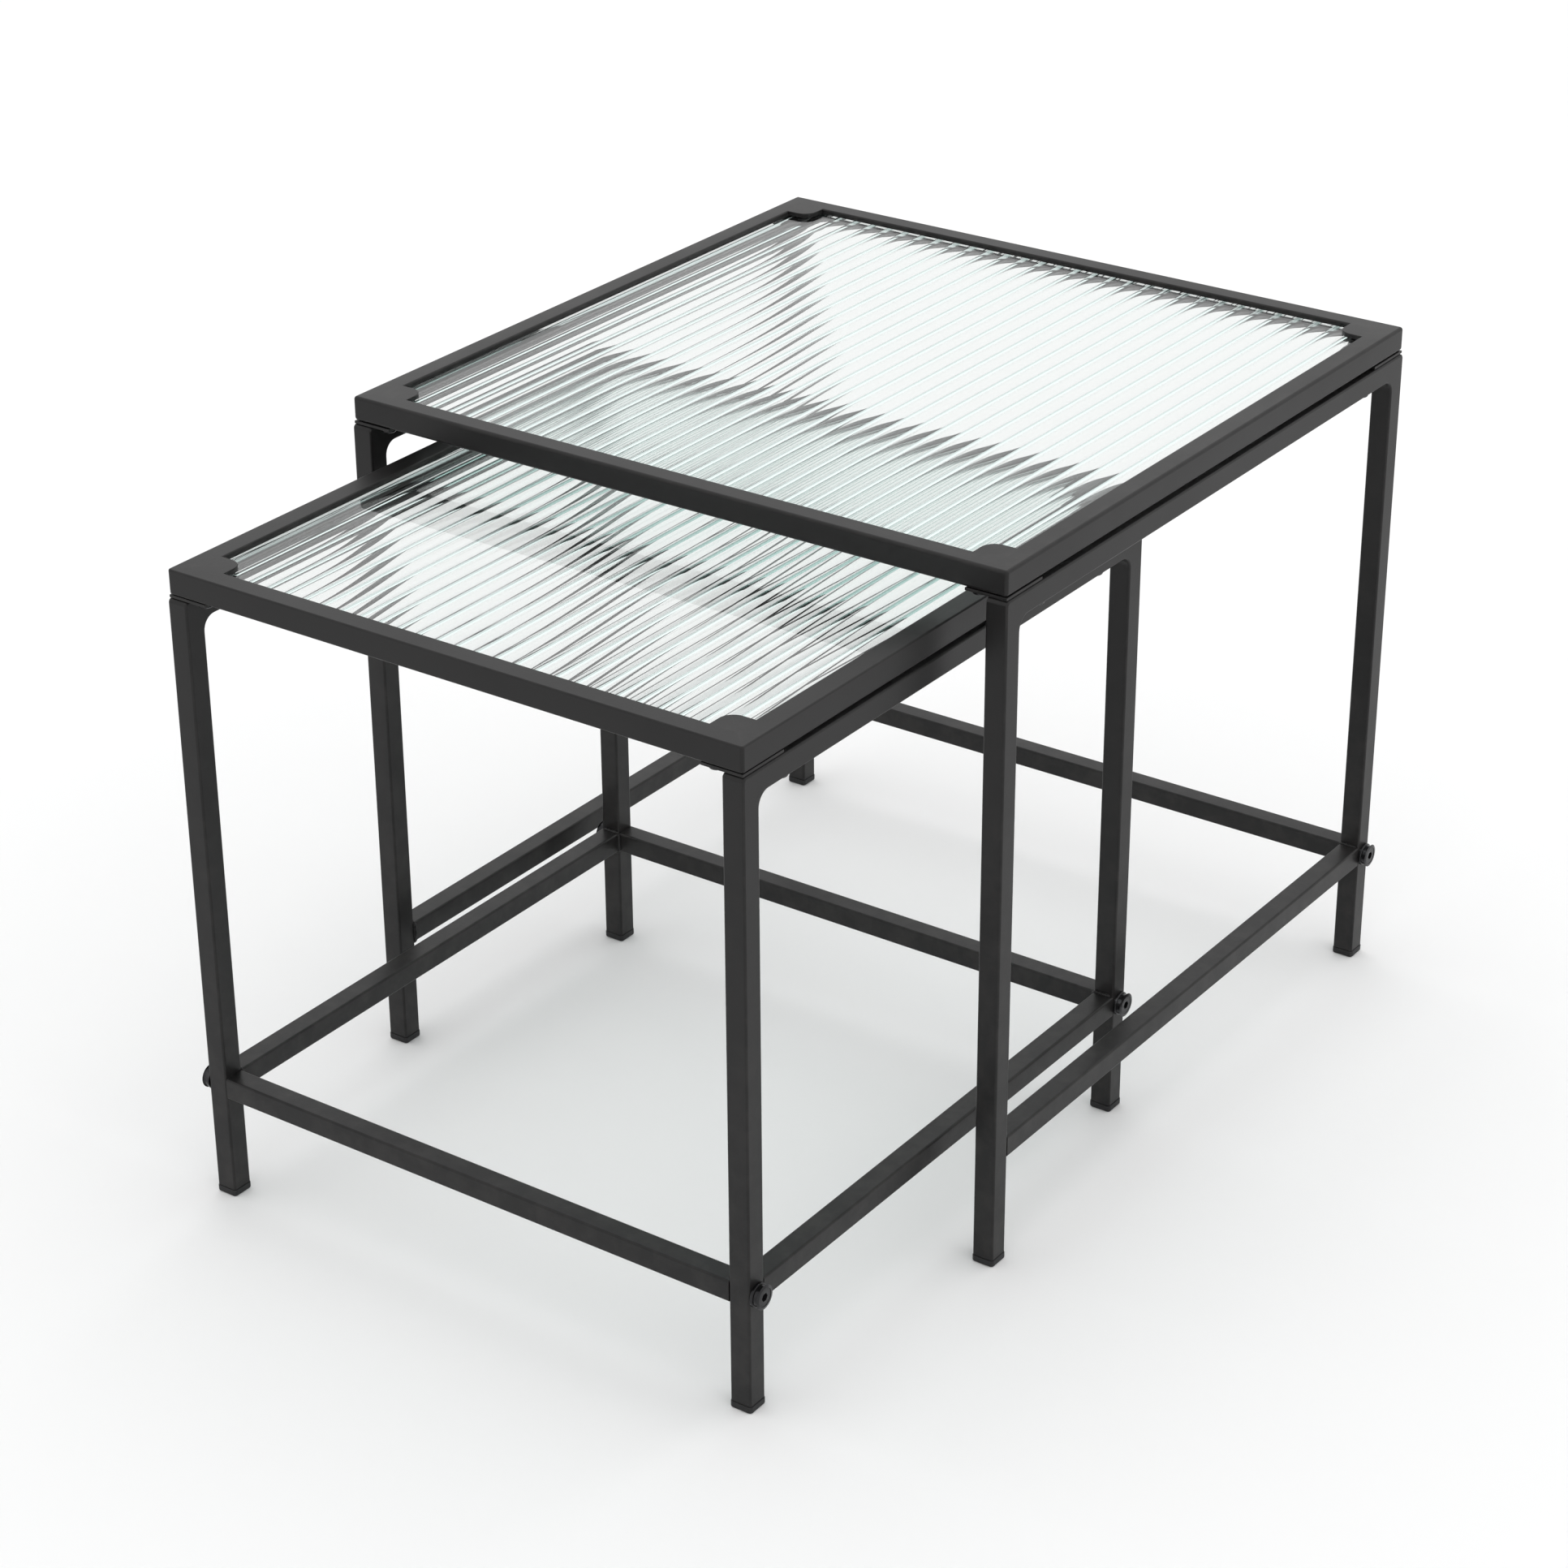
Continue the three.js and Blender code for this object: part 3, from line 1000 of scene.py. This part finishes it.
@dataclass
class SideFrames(SubAssembly):
    """The left and right frames: two legs and a top rail in one, and a stretcher welded in below."""

    tube: float = 15 * MM
    tube_radius: float = 1.5 * MM
    shoulder: float = 3 * MM
    fillet: float = 9 * MM
    reach: float = 0.3 * MM
    weld_start: float = 2 * MM

    def build(self) -> None:
        """Builds both frames with their stretchers and welds."""
        for side in (Side.LEFT, Side.RIGHT):
            self.arch(side)
            self.stretcher(side)

    def across(self, height: float) -> Wanted:
        """Edges through the frame from side to side, above a height."""
        return lambda a, b: abs(a.x - b.x) > self.tube / 2 and a.z > height

    def arch(self, side: Side) -> None:
        """The legs and the rail between them, with a web in each inner corner.

        Args:
            side: Side of the table.
        """
        legs = [self.node("leg", end, side.word) for end in ("front", "rear")]
        rail = self.node("rail", side.word)
        low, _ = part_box(legs[0])
        _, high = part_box(legs[1])
        arch = Bench.block(self.node("side_frame", side.word), low, high)
        Bench.round_edges(arch, self.across(high.z - NEAR), self.shoulder, steps=6)
        inside = Vector((-self.tube, self.tube, -self.tube))
        window = Bench.block("window", low + inside, high - Vector((-self.tube, self.tube, self.tube)))
        top = high.z - self.tube
        Bench.round_edges(window, self.across(top - NEAR), self.fillet, steps=8)
        Bench.combine(arch, window, "DIFFERENCE")
        faces = (low.x, high.x)
        Bench.round_edges(
            arch,
            lambda a, b: abs(a.x - b.x) < EVEN
            and min(abs(a.x - x) for x in faces) < EVEN
            and not max(a.z, b.z) < low.z + NEAR,
            self.tube_radius,
            steps=4,
        )
        Bench.smooth(arch)
        self.finish(arch, COAT, Slot.COAT, *legs, rail)

    def stretcher(self, side: Side) -> None:
        """The lower side stretcher, flush with the legs, and its welds.

        Args:
            side: Side of the table.
        """
        name = self.node("stretcher", side.word)
        low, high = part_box(name)
        reach = Vector((0, self.reach, 0))
        bar = Bench.block(name, low - reach, high + reach)
        Bench.round_edges(bar, lambda a, b: abs(a.y - b.y) > self.tube, self.tube_radius, steps=4)
        Bench.smooth(bar)
        self.finish(bar, COAT, Slot.COAT, name)
        for end, y in (("front", low.y), ("rear", high.y)):
            self.weld(side, end, y, low, high)

    def weld(self, side: Side, end: str, y: float, low: Vector, high: Vector) -> None:
        """The bead along the top, inner face and bottom of the stretcher where it meets a leg.

        Args:
            side: Side of the table.
            end: Front or rear end of the stretcher.
            y: Where the stretcher meets the leg.
            low: Lowest corner of the stretcher.
            high: Highest corner of the stretcher.
        """
        inward = -side.value[0]
        outer, inner = (low.x, high.x) if inward > 0 else (high.x, low.x)
        start = outer + inward * self.weld_start
        beads = [
            Bead(Vector((start, y, high.z)), Vector((inner, y, high.z))),
            Bead(Vector((inner, y, high.z)), Vector((inner, y, low.z))),
            Bead(Vector((start, y, low.z)), Vector((inner, y, low.z))),
        ]
        made = [bead.build(f"bead_{index}") for index, bead in enumerate(beads)]
        weld = Bench.merge(self.node("weld", side.word, end), *made)
        Bench.smooth(weld, degrees=60)
        self.finish(weld, COAT, Slot.COAT)


@dataclass
class Bead:
    """One run of weld between two points, with the ripple of the torch."""

    start: Vector
    end: Vector
    radius: float = 1.5 * MM
    ripple: float = 1.3 * MM
    sides: int = 12
    rings_per_ripple: int = 4
    swell: tuple = (0.88, 1.12)
    dip: float = 0.86
    rise: float = 0.2
    end_size: float = 0.45
    end_growth: float = 0.55

    def build(self, name: str) -> Blob:
        """Builds the run as a round bar, ringed and swelled along its length.

        Args:
            name: Name of the bead.

        Returns:
            The bead.
        """
        rng = random.Random(f"{self.start.x:.4f}{self.start.y:.4f}{self.end.z:.4f}")
        run = self.end - self.start
        ahead = run.normalized()
        rings = max(1, round(run.length / self.ripple)) * self.rings_per_ripple
        bead = Bench.rod(name, self.radius, self.start, self.end, self.sides)
        Bench.take(bead)
        bpy.ops.object.mode_set(mode="EDIT")
        for index in range(1, rings):
            bpy.ops.mesh.select_all(action="SELECT")
            place = self.start + run * (index / rings)
            bpy.ops.mesh.bisect(plane_co=place, plane_no=ahead, threshold=CUT_GAP)
        bpy.ops.object.mode_set(mode="OBJECT")
        swell = [rng.uniform(*self.swell) for _ in range(rings + 2)]
        for vertex in bead.data.vertices:
            along = (vertex.co - self.start).dot(ahead)
            axis = self.start + ahead * along
            phase = along / self.ripple % 1
            grow = (self.dip + self.rise * math.sqrt(phase)) * swell[min(rings, int(along / self.ripple))]
            ends = min(along, run.length - along) / self.radius
            grow *= min(1.0, self.end_size + self.end_growth * ends)
            vertex.co = axis + (vertex.co - axis) * grow
        return bead


@dataclass
class Crossbars(SubAssembly):
    """The stretchers between the side frames, and the bolts that hold them."""

    sides: tuple = (Side.REAR,)
    tube_radius: float = 1.5 * MM
    seam: float = 0.15 * MM
    shank: float = 3 * MM
    shank_length: float = 26 * MM
    flange: float = 8 * MM
    flange_thick: float = 2 * MM
    flange_round: float = 0.7 * MM
    head: float = 6.8 * MM
    head_rise: float = 3.4 * MM
    head_round: float = 1.1 * MM
    socket: float = 2.9 * MM
    socket_depth: float = 2.8 * MM

    def build(self) -> None:
        """Builds the bars, then one bolt and its copies."""
        bolt = self.bolt()
        for side in self.sides:
            self.bar(side)
            for corner in Corner:
                if corner.value[1] == side.value[1]:
                    self.place_bolt(bolt, corner)
        bpy.data.objects.remove(bolt, do_unlink=True)

    def bar(self, side: Side) -> None:
        """One crossbar, its ends against the legs.

        Args:
            side: Front or rear of the table.
        """
        name = self.node("stretcher", side.word)
        low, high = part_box(name)
        reach = Vector((self.seam, 0, 0))
        bar = Bench.block(name, low - reach, high + reach)
        Bench.round_edges(bar, lambda a, b: abs(a.x - b.x) > LONG, self.tube_radius, steps=4)
        Bench.smooth(bar)
        self.finish(bar, COAT, Slot.COAT, name)

    def bolt(self) -> Blob:
        """A flanged socket-head bolt at the origin, its head towards +X.

        Returns:
            The bolt.
        """
        top = self.flange_thick
        tall = top + self.head_rise
        bolt = Bench.rod("bolt", self.flange, Vector(), Vector((top, 0, 0)), sides=64)
        Bench.round_edges(bolt, lambda a, b: min(a.x, b.x) > top - NEAR, self.flange_round, steps=4)
        Bench.step_face(
            bolt,
            lambda centre, normal: centre.x > top - SNUG and normal.x > ALIKE,
            self.flange - self.flange_round - self.head,
            Vector((self.head_rise, 0, 0)),
        )
        Bench.round_edges(bolt, lambda a, b: min(a.x, b.x) > tall - SNUG, self.head_round, steps=6)
        Bench.step_face(
            bolt,
            lambda centre, normal: centre.x < SNUG and normal.x < -ALIKE,
            self.flange - self.shank,
            Vector((-self.shank_length, 0, 0)),
        )
        recess = Bench.rod(
            "socket",
            self.socket,
            Vector((tall - self.socket_depth, 0, 0)),
            Vector((tall + OVERCUT, 0, 0)),
            sides=6,
        )
        Bench.combine(bolt, recess, "DIFFERENCE")
        return Bench.smooth(bolt, degrees=40)

    def place_bolt(self, bolt: Blob, corner: Corner) -> None:
        """Copies the bolt to one corner, its head outwards.

        Args:
            bolt: The bolt to copy.
            corner: Corner of the table.
        """
        name = self.node("bolt", corner.word)
        low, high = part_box(name)
        x = corner.value[0]
        face = corner.outer(low, high).x - x * (self.flange_thick + self.head_rise)
        place = Matrix.Translation((face, (low.y + high.y) / 2, (low.z + high.z) / 2))
        turn = Matrix.Rotation(0 if x > 0 else math.pi, 4, "Z")
        self.finish(Bench.copy(bolt, name, place @ turn), OXIDE, Slot.OXIDE, name)


@dataclass
class CornerPlates(SubAssembly):
    """The plates between rim and side frame, the pads on them and the screws into the rim."""

    thick: float = 2 * MM
    nose: float = 12 * MM
    edge: float = 0.3 * MM
    pad_radius: float = 5 * MM
    pad_offset: float = 24 * MM
    pad_edge: float = 0.8 * MM
    head: float = 4.8 * MM
    head_rise: float = 2.8 * MM
    head_round: float = 1.5 * MM
    shank: float = 2.5 * MM
    shank_length: float = 14 * MM
    slot_long: float = 2.6 * MM
    slot_wide: float = 0.55 * MM
    slot_depth: float = 1.5 * MM
    rim_screw_inset: float = 24 * MM
    rim_screw_depth: float = 8.2 * MM

    def build(self) -> None:
        """Builds plate, pad and screws at each corner."""
        screw = self.screw()
        for corner in Corner:
            self.plate(corner)
            self.pad(corner)
            self.side_screw(screw, corner)
            self.rim_screw(screw, corner)
        bpy.data.objects.remove(screw, do_unlink=True)

    def plate(self, corner: Corner) -> None:
        """One plate with a round inner corner.

        Args:
            corner: Corner of the table.
        """
        name = self.node("plate", corner.word)
        low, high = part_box(name)
        plate = Bench.block(name, low, Vector((high.x, high.y, low.z + self.thick)))
        Bench.round_edges(plate, Pick.upright(corner.inner(low, high)), self.nose, steps=8)
        Bench.round_edges(plate, Pick.level, self.edge, steps=2)
        Bench.smooth(plate)
        self.finish(plate, COAT, Slot.COAT, name)

    def pad(self, corner: Corner) -> None:
        """The pad on a plate, which carries the glass.

        Args:
            corner: Corner of the table.
        """
        low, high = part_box(self.node("plate", corner.word))
        outer = corner.outer(*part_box(self.node("leg", corner.word)))
        x, y = corner.value
        centre = outer - Vector((x * self.pad_offset, y * self.pad_offset, 0))
        foot = Vector((centre.x, centre.y, low.z + self.thick))
        crown = Vector((centre.x, centre.y, high.z))
        pad = Bench.rod(self.node("pad", corner.word), self.pad_radius, foot, crown, sides=32)
        Bench.round_edges(pad, Pick.above(high.z - NEAR), self.pad_edge, steps=3)
        Bench.smooth(pad)
        self.finish(pad, PLASTIC, Slot.PLASTIC)

    def screw(self) -> Blob:
        """A pan-head screw at the origin, its head downwards.

        Returns:
            The screw.
        """
        screw = Bench.rod("screw", self.head, Vector((0, 0, -self.head_rise)), Vector(), sides=40)
        Bench.round_edges(screw, Pick.below(-self.head_rise + NEAR), self.head_round, steps=6)
        Bench.step_face(
            screw,
            lambda centre, normal: normal.z > ALIKE,
            self.head - self.shank,
            Vector((0, 0, self.shank_length)),
        )
        for x, y in ((self.slot_long, self.slot_wide), (self.slot_wide, self.slot_long)):
            slot = Bench.block(
                "slot",
                Vector((-x, -y, -self.head_rise - OVERCUT)),
                Vector((x, y, -self.head_rise + self.slot_depth)),
            )
            Bench.combine(screw, slot, "DIFFERENCE")
        return Bench.smooth(screw, degrees=40)

    def side_screw(self, screw: Blob, corner: Corner) -> None:
        """The screw up through the side rail.

        Args:
            screw: The screw to copy.
            corner: Corner of the table.
        """
        name = self.node("screw", corner.word)
        low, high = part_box(name)
        place = Matrix.Translation(((low.x + high.x) / 2, (low.y + high.y) / 2, low.z + self.head_rise))
        self.finish(Bench.copy(screw, name, place), OXIDE, Slot.OXIDE, name)

    def rim_screw(self, screw: Blob, corner: Corner) -> None:
        """The screw up through the corner plate into the front or rear of the rim.

        Args:
            screw: The screw to copy.
            corner: Corner of the table.
        """
        plate_low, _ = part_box(self.node("plate", corner.word))
        outer = corner.outer(*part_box(self.node("leg", corner.word)))
        x, y = corner.value
        at_x = outer.x - x * self.rim_screw_inset
        at_y = outer.y - y * self.rim_screw_depth
        place = Matrix.Translation((at_x, at_y, plate_low.z))
        twin = Bench.copy(screw, self.node("rim_screw", corner.word), place)
        self.finish(twin, OXIDE, Slot.OXIDE)


@dataclass
class Feet(SubAssembly):
    """The moulded caps under the legs."""

    collar: float = 4.8 * MM
    corner_radius: float = 2.4 * MM
    sole_radius: float = 1.3 * MM
    lip_radius: float = 0.5 * MM
    plug_inset: float = 2 * MM

    def build(self) -> None:
        """Builds a cap with its plug under each leg."""
        for corner in Corner:
            name = self.node("foot", corner.word)
            low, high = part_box(name)
            top = low.z + self.collar
            cap = Bench.block(name, low, Vector((high.x, high.y, top)))
            Bench.round_edges(
                cap, lambda a, b: abs(a.z - b.z) > self.collar / 2, self.corner_radius, steps=6
            )
            Bench.round_edges(cap, Pick.below(low.z + NEAR), self.sole_radius, steps=4)
            Bench.round_edges(cap, Pick.above(top - NEAR), self.lip_radius, steps=2)
            Bench.step_face(
                cap,
                lambda centre, normal: centre.z > top - SNUG and normal.z > ALIKE,
                self.plug_inset,
                Vector((0, 0, high.z - top)),
            )
            Bench.smooth(cap)
            self.finish(cap, PLASTIC, Slot.PLASTIC, name)


# ---- Studio -----------------------------------------------------------------------------------


@dataclass(frozen=True)
class SoftBox:
    """One large square lamp."""

    name: str
    place: tuple
    size: float
    watts: float
@dataclass
class Studio:
    """A pale floor, soft light all round and the camera."""

    azimuth: float = 35.44
    elevation: float = 26.87
    roll: float = -0.36
    distance: float = 2.52
    aim: tuple = (-0.0011, -0.0146, 0.2177)
    lens: float = 86.8
    sensor: float = 36
    floor_size: float = 30.0
    floor_colour: tuple = (0.9, 0.9, 0.9, 1)
    floor_rough: float = 0.9
    floor_specular: float = 0.1
    room_colour: tuple = (1, 1, 1, 1)
    room_strength: float = 1.06
    lamp_aim: tuple = (0, 0, 0.3)
    lamps: tuple = (
        SoftBox("key_box", (-0.6, 1.2, 3.2), size=3.0, watts=14),
        SoftBox("fill_box", (2.6, 0.2, 2.4), size=2.4, watts=6),
    )

    def build(self) -> None:
        """Sets floor, light and camera."""
        self.floor()
        self.light()
        self.camera()

    def floor(self) -> None:
        """A wide matt floor."""
        Bench.take()
        bpy.ops.mesh.primitive_plane_add(size=self.floor_size, location=(0, 0, 0))
        floor = bpy.context.object
        floor.name = "studio_floor"
        material = bpy.data.materials.new("pale_floor")
        material.use_nodes = True
        shader = material.node_tree.nodes["Principled BSDF"]
        shader.inputs["Base Color"].default_value = self.floor_colour
        shader.inputs["Roughness"].default_value = self.floor_rough
        shader.inputs["Specular IOR Level"].default_value = self.floor_specular
        floor.data.materials.append(material)

    def light(self) -> None:
        """A bright even room and the soft boxes."""
        scene = bpy.context.scene
        world = bpy.data.worlds.new("bright_room")
        scene.world = world
        world.use_nodes = True
        background = world.node_tree.nodes["Background"]
        background.inputs["Color"].default_value = self.room_colour
        background.inputs["Strength"].default_value = self.room_strength
        for lamp in self.lamps:
            self.soft_box(lamp)
        scene.view_settings.view_transform = "Standard"
        scene.view_settings.look = "None"

    def soft_box(self, lamp: SoftBox) -> None:
        """Hangs one lamp and aims it at the tables.

        Args:
            lamp: The lamp.
        """
        data = bpy.data.lights.new(lamp.name, "AREA")
        data.shape = "SQUARE"
        data.size = lamp.size
        data.energy = lamp.watts
        box = bpy.data.objects.new(lamp.name, data)
        bpy.context.collection.objects.link(box)
        box.location = lamp.place
        towards = Vector(self.lamp_aim) - Vector(lamp.place)
        box.rotation_euler = towards.to_track_quat("-Z", "Y").to_euler()

    def camera(self) -> None:
        """The camera, a little to the right of the front and above."""
        data = bpy.data.cameras.new("camera")
        camera = bpy.data.objects.new("camera", data)
        bpy.context.collection.objects.link(camera)
        a, e = math.radians(self.azimuth), math.radians(self.elevation)
        back = Vector((math.sin(a) * math.cos(e), -math.cos(a) * math.cos(e), math.sin(e)))
        camera.location = Vector(self.aim) + back * self.distance
        aim = (-back).to_track_quat("-Z", "Y").to_matrix().to_4x4()
        turn = Matrix.Rotation(math.radians(self.roll), 4, "Z")
        camera.rotation_euler = (aim @ turn).to_euler()
        data.sensor_width = self.sensor
        data.lens = self.lens
        bpy.context.scene.camera = camera


def main() -> None:
    """Builds every sub-assembly of both tables in order."""
    logging.basicConfig(level=logging.INFO, format="%(message)s")
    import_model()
    for table, crossbars in (("large", (Side.REAR,)), ("small", (Side.FRONT, Side.REAR))):
        assemblies = (
            Rim(table),
            GlassPanel(table),
            SideFrames(table),
            Crossbars(table, sides=crossbars),
            CornerPlates(table),
            Feet(table),
        )
        for assembly in assemblies:
            assembly.build()
            for piece in assembly.pieces:
                LOG.info("%s rides on %s", piece.name, assembly.body)
    Studio().build()


if __name__ == "__main__":
    main()
